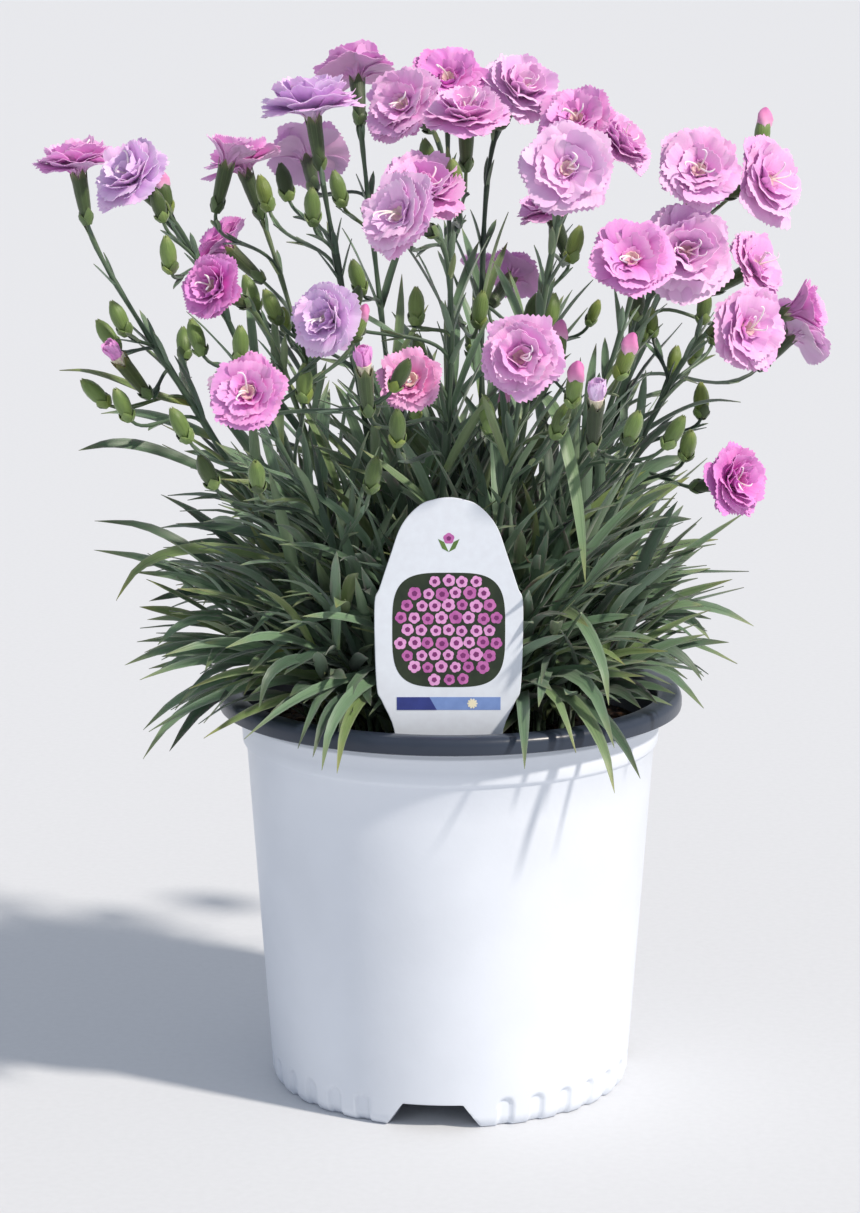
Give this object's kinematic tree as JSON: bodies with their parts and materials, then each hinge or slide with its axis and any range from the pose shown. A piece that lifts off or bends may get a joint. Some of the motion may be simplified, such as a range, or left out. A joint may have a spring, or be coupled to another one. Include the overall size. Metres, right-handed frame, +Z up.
{
  "type": "potted dianthus plant",
  "caption": "Flowering dianthus plant with pink double blooms, buds and narrow leaves, growing in a round nursery pot with a plant label.",
  "frame": {"origin": "middle of the pot's foot, on the surface that the pot stands on", "axes": "+Z up along the pot's axis, -Y towards the front where the label stands, +X to the right seen from the front"},
  "size_m": [0.2863, 0.1872, 0.3708],
  "materials": {
    "pot_wall": "white plastic outside with a dark rolled rim and a dark inside",
    "potting_soil": "dark peat and bark potting soil",
    "label_plastic": "smooth white plastic sheet with a plain printed picture",
    "dianthus_green": "blue-green waxy stems and narrow leaves",
    "petals": "thin lavender-pink fringed petals, deeper pink in the middle"
  },
  "bodies": {
    "root": {"pot": "pot_wall", "soil": "potting_soil", "label": "label_plastic", "spray_01": "dianthus_green", "spray_02": "dianthus_green", "spray_03": "dianthus_green", "spray_04": "dianthus_green", "spray_05": "dianthus_green", "spray_06": "dianthus_green", "spray_07": "dianthus_green", "spray_08": "dianthus_green", "spray_09": "dianthus_green", "spray_10": "dianthus_green", "spray_11": "dianthus_green", "spray_12": "dianthus_green", "spray_13": "dianthus_green", "spray_14": "dianthus_green", "spray_15": "dianthus_green", "spray_16": "dianthus_green", "spray_17": "dianthus_green", "spray_18": "dianthus_green", "flower_01": "petals", "flower_02": "petals", "flower_03": "petals", "flower_04": "petals", "flower_05": "petals", "flower_06": "petals", "flower_07": "petals", "flower_08": "petals", "flower_09": "petals", "flower_10": "petals", "flower_11": "petals", "flower_12": "petals", "flower_13": "petals", "flower_14": "petals", "flower_15": "petals", "flower_16": "petals", "flower_17": "petals", "flower_18": "petals", "flower_19": "petals", "flower_20": "petals", "flower_21": "petals", "flower_22": "petals", "flower_23": "petals", "flower_24": "petals", "flower_25": "petals", "flower_26": "petals", "flower_27": "petals", "flower_28": "petals", "flower_29": "petals", "flower_30": "petals", "flower_31": "petals", "flower_32": "petals", "flower_33": "petals", "flower_34": "petals", "flower_35": "petals", "flower_36": "petals", "flower_37": "petals", "flower_38": "petals", "flower_39": "petals"}
  },
  "joints": []
}
